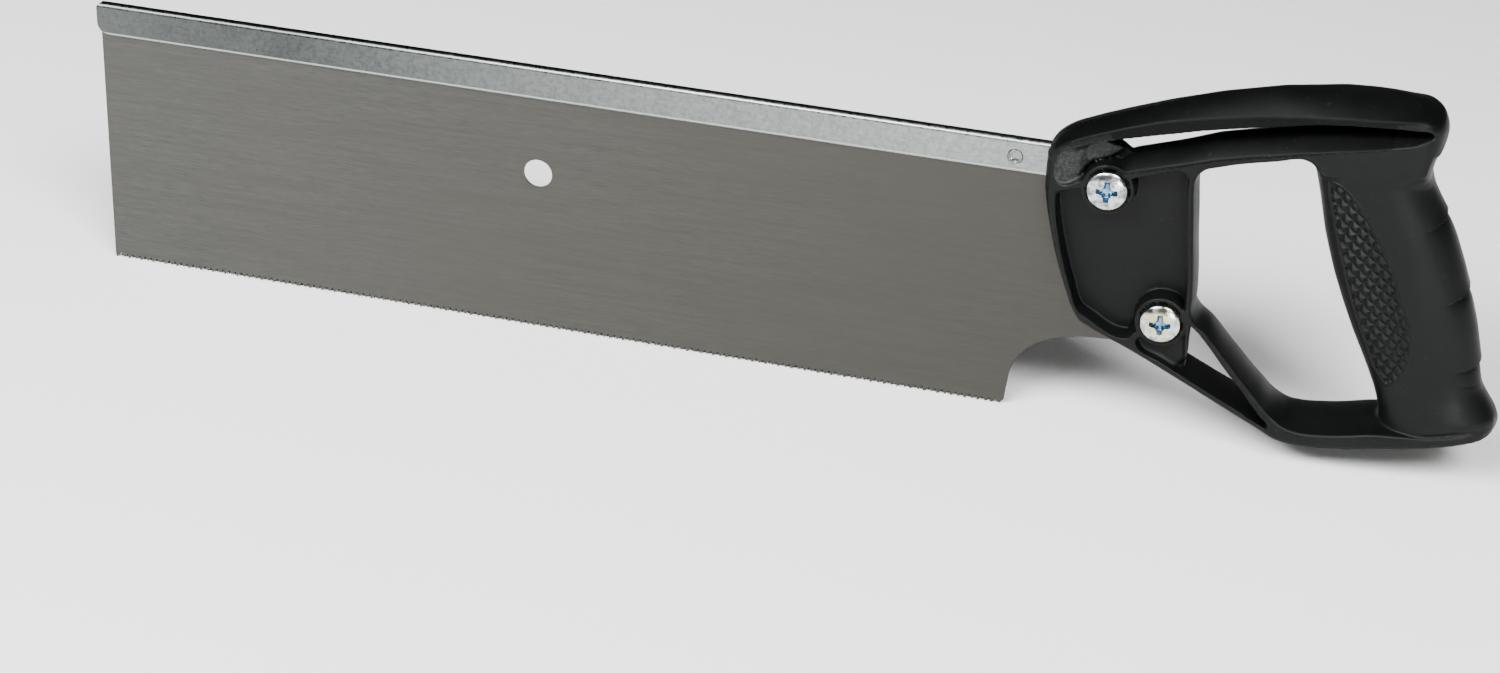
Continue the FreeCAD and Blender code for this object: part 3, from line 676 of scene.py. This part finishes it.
def screw_field(cx, cz, turn):
    c, s = math.cos(turn), math.sin(turn)

    def field(x, y, z):
        u0, w0 = x - cx, z - cz
        u, w = c * u0 + s * w0, c * w0 - s * u0
        r = np.hypot(u, w)
        h = -y - 10.0                       # height above the boss
        top = head_profile(r, 7.45, 0.55, 2.75)
        slope = np.hypot(1, (2.2 * r / 7.45 ** 2) / np.sqrt(np.maximum(1 - (r / 7.45) ** 2, 0.08)))
        head = rmax((h - top) / slope, r - 7.2, 0.3)
        head = rmax(head, -h, 0.1)
        # cross recess: wings taper towards the bottom
        dep = np.clip(2.75 - h, 0, 3)
        wing = 1.02 - 0.18 * dep
        span = 4.15 - 0.70 * dep
        cross = np.minimum(rmax(np.abs(u) - wing, np.abs(w) - span, 0.25),
                           rmax(np.abs(w) - wing, np.abs(u) - span, 0.25))
        core = (r - (2.15 - 0.50 * dep)) * 0.9
        cross = rmin(cross, core, 0.5)
        recess = rmax(cross, 0.38 - h, 0.3)
        # four small relief corners between the wings
        head = rmax(head, -recess, 0.12)
        shank = rmax(r - 2.0, np.maximum(h, y - 5.0), 0.2)
        return np.minimum(head, shank)
    return field


def build_screw(name, cx, cz, turn):
    a = half_sym(0.21, 7.5)
    ys = np.concatenate([np.arange(-13.1, -9.6, 0.2), np.arange(-9.5, 5.8, 0.7)])
    return net_piece(name, screw_field(cx, cz, turn), cx + a, ys, cz + a, rounds=2, cap=0.1)


def nut_field(cx, cz, turn):
    c, s = math.cos(turn), math.sin(turn)

    def field(x, y, z):
        u0, w0 = x - cx, z - cz
        u, w = c * u0 + s * w0, c * w0 - s * u0
        r = np.hypot(u, w)
        h = y - 10.0
        top = head_profile(r, 7.45, 0.55, 2.2)
        slope = np.hypot(1, (1.65 * r / 7.45 ** 2) / np.sqrt(np.maximum(1 - (r / 7.45) ** 2, 0.08)))
        head = rmax((h - top) / slope, r - 7.2, 0.3)
        head = rmax(head, -h, 0.1)
        slot = rmax(np.abs(w) - 0.75, 1.0 - h, 0.15)
        head = rmax(head, -slot, 0.12)
        barrel = rmax(r - 3.0, np.maximum(h, -4.0 - y), 0.2)
        barrel = rmax(barrel, -np.maximum(r - 2.06, y - 6.0), 0.1)
        return np.minimum(head, barrel)
    return field


def build_nut(name, cx, cz, turn):
    a = half_sym(0.21, 7.5)
    ys = np.concatenate([np.arange(-4.6, 9.4, 0.7), np.arange(9.55, 12.7, 0.2)])
    return net_piece(name, nut_field(cx, cz, turn), cx + a, ys, cz + a, rounds=2, cap=0.1)


def build_blade():
    """Plate with 140 raked teeth, each set and bevelled to alternate sides."""
    t = 0.425
    gul, tip, pitch, count = -105.1, -107.0, 2.54, 140
    heel = curve([(356.0, -100.0), (357.3, -90.5), (361.5, -83.2), (369.0, -77.6), (378.5, -74.7),
                  (390.0, -73.5), (401.0, -73.2)], 1.2, closed=False)
    outer = [(0.45, -1.9), (370.0, -1.9), (371.5, -3.4), (405.6, -3.4), (407.3, -5.0), (414.9, -69.0),
             (414.2, -71.6), (411.6, -73.2)]
    outer += [tuple(p) for p in heel[::-1]]
    base = [(k * pitch, gul) for k in range(count, -1, -1)]
    outer += base + [(0.0, -2.4)]
    holes = []
    for hx, hz, r, n in ((174.0, -43.0, 5.5, 72), (384.8, -11.0, 3.15, 36), (409.2, -58.8, 3.15, 36),
                         (350.6, -7.0, 2.68, 30)):
        holes.append([(hx + r * math.cos(-2 * math.pi * i / n), hz + r * math.sin(-2 * math.pi * i / n))
                      for i in range(n)])
    rings = [outer] + holes
    flat = [p for r in rings for p in r]
    tris = tessellate_polygon([[Vector((p[0], p[1], 0)) for p in r] for r in rings])
    n = len(flat)
    verts = [(p[0], -t, p[1]) for p in flat] + [(p[0], t, p[1]) for p in flat]
    faces = []
    area2 = 0.0
    a, b, c = tris[0]
    for tr in tris:
        (x0, z0), (x1, z1), (x2, z2) = (flat[i] for i in tr)
        cr = (x1 - x0) * (z2 - z0) - (x2 - x0) * (z1 - z0)
        # seen from -Y with X to the right and Z up, counter-clockwise faces out
        f = tr if cr > 0 else (tr[0], tr[2], tr[1])
        faces.append(tuple(f))
        faces.append((f[0] + n, f[2] + n, f[1] + n))
    # side walls, left out along the tooth bases
    start = 0
    first = len(outer) - 1 - len(base)
    for ri, r in enumerate(rings):
        m = len(r)
        for i in range(m):
            j = (i + 1) % m
            if ri == 0 and first <= i < first + count:
                continue
            p, q = start + i, start + j
            faces.append((p, p + n, q + n, q))
        start += m
    index = {k: first + (count - k) for k in range(count + 1)}
    for k in range(count):
        a, b = index[k], index[k + 1]
        s = 0.17 if k % 2 else -0.17
        x0 = k * pitch + 0.42
        i = len(verts)
        lean = 0.30                # bevel filed across each tooth
        verts += [(x0 + (lean if s > 0 else 0), -t + s, tip + (0.12 if s > 0 else 0)),
                  (x0 + (lean if s < 0 else 0), t + s, tip + (0.12 if s < 0 else 0))]
        faces += [(a, i, b), (a + n, b + n, i + 1), (a, a + n, i + 1, i), (i, i + 1, b + n, b)]
    me = bpy.data.meshes.new("saw_plate")
    me.from_pydata(to_row(verts).tolist(), [], faces)
    bm = bmesh.new()
    bm.from_mesh(me)
    bmesh.ops.recalc_face_normals(bm, faces=bm.faces)
    bm.to_mesh(me)
    bm.free()
    me.validate()
    ob = bpy.data.objects.new("saw_plate", me)
    bpy.context.scene.collection.objects.link(ob)
    return ob


blade = build_blade()
back = build_back()
rivet = build_rivet()
upper_screw = build_screw("upper_screw_truss", 384.8, -11.0, math.radians(2))
lower_screw = build_screw("lower_screw_truss", 409.2, -58.8, math.radians(4))
upper_nut = build_nut("upper_nut_slotted", 384.8, -11.0, math.radians(24))
lower_nut = build_nut("lower_nut_slotted", 409.2, -58.8, math.radians(-37))
for piece, node, slot in ((blade, "blade", "blade_steel"), (back, "folded_back", "back_steel"),
                          (rivet, "back_rivet", "rivet_steel"),
                          (upper_screw, "upper_screw", "zinc_fastener"), (lower_screw, "lower_screw", "zinc_fastener"),
                          (upper_nut, "upper_sleeve_nut", "zinc_fastener"), (lower_nut, "lower_sleeve_nut", "zinc_fastener")):
    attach(piece, "root")
    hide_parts(node)
    print(piece.name, len(piece.data.polygons))


# -------------------------------------------------------------------- materials
class Mat:
    def __init__(self, name):
        self.m = bpy.data.materials.new(name)
        self.m.use_nodes = True
        self.t = self.m.node_tree
        self.b = self.t.nodes["Principled BSDF"]
        self.co = self.t.nodes.new("ShaderNodeTexCoord").outputs["Object"]

    def set(self, **kw):
        for k, v in kw.items():
            self.b.inputs[k.replace("_", " ")].default_value = v
        return self

    def node(self, kind, **kw):
        n = self.t.nodes.new(kind)
        for k, v in kw.items():
            if hasattr(n, k):
                setattr(n, k, v)
            else:
                n.inputs[k].default_value = v
        return n

    def link(self, a, b):
        self.t.links.new(a, b)

    def scaled(self, scale):
        n = self.node("ShaderNodeMapping")
        n.inputs["Scale"].default_value = scale
        self.link(self.co, n.inputs["Vector"])
        return n.outputs[0]

    def noise(self, scale=(1, 1, 1), size=1.0, detail=3.0, rough=0.5):
        n = self.node("ShaderNodeTexNoise")
        n.inputs["Scale"].default_value = size
        n.inputs["Detail"].default_value = detail
        n.inputs["Roughness"].default_value = rough
        self.link(self.scaled(scale), n.inputs["Vector"])
        return n.outputs["Fac"]

    def remap(self, v, a, b, c, d):
        n = self.node("ShaderNodeMapRange")
        for k, x in zip(("From Min", "From Max", "To Min", "To Max"), (a, b, c, d)):
            n.inputs[k].default_value = x
        self.link(v, n.inputs["Value"])
        return n.outputs["Result"]

    def math(self, op, a, b):
        n = self.node("ShaderNodeMath")
        n.operation = op
        for i, x in enumerate((a, b)):
            if isinstance(x, (int, float)):
                n.inputs[i].default_value = x
            else:
                self.link(x, n.inputs[i])
        return n.outputs[0]

    def mix(self, fac, c1, c2):
        n = self.node("ShaderNodeMix")
        n.data_type = "RGBA"
        if isinstance(fac, (int, float)):
            n.inputs[0].default_value = fac
        else:
            self.link(fac, n.inputs[0])
        for sock, c in ((n.inputs[6], c1), (n.inputs[7], c2)):
            if isinstance(c, tuple):
                sock.default_value = c + (1,)
            else:
                self.link(c, sock)
        return n.outputs[2]

    def colour(self, c):
        self.link(c, self.b.inputs["Base Color"])

    def rough(self, v):
        self.link(v, self.b.inputs["Roughness"])

    def along(self, axis):
        n = self.node("ShaderNodeSeparateXYZ")
        self.link(self.co, n.inputs[0])
        return n.outputs[axis]

    def bump(self, v, strength, distance):
        n = self.node("ShaderNodeBump")
        n.inputs["Strength"].default_value = strength
        n.inputs["Distance"].default_value = distance
        self.link(v, n.inputs["Height"])
        self.link(n.outputs[0], self.b.inputs["Normal"])


def plastic(name="black_moulded_plastic", spec=0.125):
    m = Mat(name).set(**{"Specular IOR Level": spec})
    cloud = m.noise(size=46, detail=4, rough=0.6)
    fine = m.noise(size=2600, detail=2, rough=0.7)
    speck = m.noise(size=900, detail=1, rough=0.4)
    base = m.mix(m.remap(cloud, 0.3, 0.7, 0, 1), (0.0014, 0.0017, 0.0017), (0.0024, 0.0027, 0.0026))
    base = m.mix(m.remap(speck, 0.72, 0.78, 0, 0.5), base, (0.018, 0.019, 0.018))
    m.colour(base)
    m.rough(m.math("ADD", m.remap(cloud, 0.3, 0.7, 0.40, 0.50), m.remap(fine, 0.3, 0.7, -0.04, 0.04)))
    m.bump(m.math("ADD", m.math("MULTIPLY", fine, 0.7), m.math("MULTIPLY", speck, 0.4)), 0.4, 0.00007)
    return m.m


def coarse_lit_plastic():
    m = Mat("black_plastic_coarse_lit").set(**{"Specular IOR Level": 0.22})
    mottle = m.noise(size=900, detail=3, rough=0.65)
    fine = m.noise(size=2600, detail=2, rough=0.7)
    # paler mottle: coarse grain, partly a painted highlight for the light the bulge catches
    m.colour(m.mix(m.remap(mottle, 0.42, 0.62, 0, 1), (0.0026, 0.0030, 0.0030), (0.016, 0.0175, 0.017)))
    m.rough(m.remap(fine, 0.3, 0.7, 0.34, 0.50))
    m.bump(m.math("ADD", mottle, m.math("MULTIPLY", fine, 0.4)), 0.8, 0.00025)
    return m.m


def plate_steel():
    m = Mat("ground_blade_steel").set(Metallic=1.0)
    grain = m.noise(scale=(150, 2600, 2600), size=1, detail=4, rough=0.65)
    streak = m.noise(scale=(24, 620, 620), size=1, detail=4, rough=0.65)
    cloud = m.noise(size=11, detail=3, rough=0.55)
    dust = m.noise(size=1300, detail=1, rough=0.5)
    a = m.mix(m.remap(grain, 0.3, 0.7, 0, 1), (0.062, 0.063, 0.059), (0.106, 0.106, 0.100))
    a = m.mix(m.remap(streak, 0.38, 0.66, 0, 0.55), a, (0.063, 0.063, 0.058))
    a = m.mix(m.remap(cloud, 0.35, 0.7, 0, 0.45), a, (0.090, 0.088, 0.079))
    # painted reflection: the plate is painted darker and browner towards the heel
    a = m.mix(m.remap(m.along("X"), -0.17, 0.20, 0.0, 0.62), a, (0.040, 0.038, 0.031))
    a = m.mix(m.remap(dust, 0.70, 0.76, 0, 0.4), a, (0.055, 0.052, 0.046))
    m.colour(a)
    m.rough(m.math("ADD", m.remap(grain, 0.3, 0.7, 0.40, 0.50), m.remap(cloud, 0.3, 0.7, -0.04, 0.05)))
    m.bump(grain, 0.25, 0.00003)
    return m.m


def strip_steel():
    m = Mat("plated_back_steel").set(Metallic=1.0)
    grain = m.noise(scale=(90, 2600, 2600), size=1, detail=4, rough=0.6)
    mottle = m.noise(scale=(1, 1, 1), size=620, detail=3, rough=0.65)
    cloud = m.noise(size=16, detail=3, rough=0.5)
    # painted reflection: the back is painted dark at the toe and light towards the handle
    near = m.mix(m.remap(mottle, 0.35, 0.68, 0, 1), (0.036, 0.041, 0.040), (0.068, 0.075, 0.073))
    far = m.mix(m.remap(mottle, 0.35, 0.68, 0, 1), (0.205, 0.221, 0.219), (0.315, 0.334, 0.330))
    a = m.mix(m.remap(m.along("X"), -0.10, 0.15, 0.0, 1.0), near, far)
    a = m.mix(m.remap(grain, 0.35, 0.7, 0, 0.25), a, (0.105, 0.112, 0.112))
    a = m.mix(m.remap(cloud, 0.4, 0.7, 0, 0.20), a, (0.180, 0.190, 0.188))
    # painted highlight: a bright line where the leaf turns in; painted shade: a dark edge below it
    z = m.along("Z")
    line = m.math("MULTIPLY", m.remap(z, 0.0304, 0.0307, 0, 1), m.remap(z, 0.0313, 0.0316, 1, 0))
    a = m.mix(m.math("MULTIPLY", line, 0.75), a, (0.46, 0.48, 0.475))
    a = m.mix(m.remap(z, 0.0300, 0.0304, 0.85, 0), a, (0.018, 0.018, 0.018))
    # painted shade: a dark band along the top of the fold
    a = m.mix(m.remap(z, 0.0426, 0.0429, 0, 0.9), a, (0.022, 0.024, 0.024))
    m.colour(a)
    m.rough(m.math("ADD", m.remap(mottle, 0.3, 0.7, 0.24, 0.38), m.remap(grain, 0.3, 0.7, -0.04, 0.04)))
    m.bump(m.math("ADD", mottle, m.math("MULTIPLY", grain, 0.5)), 0.3, 0.00004)
    return m.m


def zinc(name, tint=(0.15, 0.18, 0.20), other=(0.60, 0.62, 0.60), stain=None, rough=(0.09, 0.18)):
    m = Mat(name).set(Metallic=1.0)
    cloud = m.noise(size=330, detail=4, rough=0.6)
    fine = m.noise(size=3200, detail=2, rough=0.5)
    a = m.mix(m.remap(cloud, 0.40, 0.58, 0, 1), tint, other)
    if stain:
        blot = m.noise(size=95, detail=2, rough=0.5)
        a = m.mix(m.remap(blot, 0.56, 0.66, 0, 0.75), a, stain)
    m.colour(a)
    m.rough(m.math("ADD", m.remap(cloud, 0.3, 0.7, rough[0], rough[1]), m.remap(fine, 0.3, 0.7, -0.02, 0.03)))
    m.bump(m.math("ADD", cloud, m.math("MULTIPLY", fine, 0.3)), 0.25, 0.00005)
    return m.m


def face_centres(piece):
    c = np.empty(len(piece.data.polygons) * 3)
    piece.data.polygons.foreach_get("center", c)
    return (c.reshape(-1, 3) * 1000 + np.array([HX, 0, HZ])).T


def second_slot(piece, mat, test):
    """Give the faces picked by their centres (saw's mm) the second material."""
    piece.data.materials.append(mat)
    piece.data.polygons.foreach_set("material_index", test(*face_centres(piece)).astype(int))


handle.data.materials.append(plastic())
# the bulge over the end of the back keeps the coarse grain of its mould; its paler mottle is also a painted highlight
# where the bulge catches the light
second_slot(handle, coarse_lit_plastic(), lambda x, y, z: (np.minimum(MAPS["socket"](x, z), MAPS["gusset"](x, z)) < 0.3)
            & (np.abs(y) > 3.0) & (MAPS["slot"](x, z) < 0.2))
# the hood and the bar under its slot get a copy of the plastic with weaker reflection: painted shade that keeps their
# up-facing tops darker than the grip
handle.data.materials.append(plastic("black_plastic_hood_shaded", 0.055))
hx, hy, hz = face_centres(handle)
shaded_top = (((hz > lip_z(hx) - 0.6) & (MAPS["hood"](hx, hz) < 0.4))
              | ((MAPS["flange"](hx, hz) < 0.3) & (hz > slot_low(hx) - 0.4) & (hx < 478)))
index = np.empty(len(handle.data.polygons), int)
handle.data.polygons.foreach_get("material_index", index)
index[shaded_top & (index == 0)] = 2
handle.data.polygons.foreach_set("material_index", index)
blade.data.materials.append(plate_steel())
back.data.materials.append(strip_steel())
rivet.data.materials.append(zinc("rivet_steel", (0.14, 0.15, 0.15), (0.24, 0.25, 0.25), rough=(0.2, 0.32)))
screw_zinc = zinc("zinc_plated_steel", (0.17, 0.20, 0.21), (0.62, 0.64, 0.62), stain=(0.62, 0.58, 0.26), rough=(0.17, 0.28))
# painted shade: faces inside the cross recesses get a darker, bluer copy of the zinc
shaded_recess_zinc = zinc("zinc_in_recess_shaded", (0.10, 0.19, 0.28), (0.22, 0.33, 0.44), rough=(0.16, 0.28))
for piece, cx, cz in ((upper_screw, 384.8, -11.0), (lower_screw, 409.2, -58.8)):
    piece.data.materials.append(screw_zinc)
    second_slot(piece, shaded_recess_zinc, lambda x, y, z, cx=cx, cz=cz:
                (np.hypot(x - cx, z - cz) < 4.4)
                & (-y - 10.0 < head_profile(np.hypot(x - cx, z - cz), 7.45, 0.55, 2.75) - 0.22))
for piece in (upper_nut, lower_nut):
    piece.data.materials.append(screw_zinc)


# ------------------------------------------------------- camera, floor, light
def camera():
    az, el, roll = map(math.radians, (12.689, 27.788, 3.383))
    back = Vector((math.sin(az) * math.cos(el), -math.cos(az) * math.cos(el), math.sin(el)))
    right = (-back).cross(Vector((0, 0, 1))).normalized()
    up = right.cross(-back)
    c, s = math.cos(roll), math.sin(roll)
    m = Matrix((c * right + s * up, c * up - s * right, back)).transposed().to_4x4()
    m.translation = Vector((0.281804, -0.877167, 0.420233))
    data = bpy.data.cameras.new("camera")
    data.sensor_width, data.lens, data.clip_end = 36, 36 * 2708.475 / 1500, 50
    ob = bpy.data.objects.new("camera", data)
    bpy.context.scene.collection.objects.link(ob)
    ob.matrix_world = m
    bpy.context.scene.camera = ob


camera()

floor_mesh = bpy.data.meshes.new("studio_floor")
floor_z = CAD_FLOOR
floor_mesh.from_pydata([(-9, -9, floor_z), (9, -9, floor_z), (9, 9, floor_z), (-9, 9, floor_z)], [], [(0, 1, 2, 3)])
floor = bpy.data.objects.new("studio_floor", floor_mesh)
bpy.context.scene.collection.objects.link(floor)
fm = bpy.data.materials.new("studio_floor_pale")
fm.use_nodes = True
fb = fm.node_tree.nodes["Principled BSDF"]
fb.inputs["Base Color"].default_value = (0.96, 0.96, 0.96, 1)
fb.inputs["Roughness"].default_value = 0.9
fb.inputs["Specular IOR Level"].default_value = 0.1
floor_mesh.materials.append(fm)


def area(name, place, aim, size, power, colour=(1, 1, 1), size_y=None, spread=180):
    data = bpy.data.lights.new(name, "AREA")
    data.spread = math.radians(spread)
    data.shape = "RECTANGLE"
    data.size, data.size_y = size, size_y or size
    data.energy, data.color = power, colour
    ob = bpy.data.objects.new(name, data)
    bpy.context.scene.collection.objects.link(ob)
    d = Vector(aim) - Vector(place)
    ob.matrix_world = Matrix.Translation(place) @ d.to_track_quat("-Z", "Y").to_matrix().to_4x4()


area("soft_front_left", (-0.62, -1.20, 1.25), (0.05, 0, 0), 1.30, 92, size_y=0.62)
area("soft_front_right", (0.95, -1.20, 1.45), (0.2, 0, 0), 0.75, 62)
area("soft_low_right", (0.90, -1.38, 0.13), (0.345, 0, -0.03), 0.30, 0.35, size_y=0.20, spread=30)
area("soft_rear", (0.2, 2.2, 1.6), (0.2, 0, 0), 0.8, 0.8)
world = bpy.data.worlds.new("studio")
bpy.context.scene.world = world
world.use_nodes = True
world.node_tree.nodes["Background"].inputs[0].default_value = (1, 1, 1, 1)
world.node_tree.nodes["Background"].inputs[1].default_value = 0.06
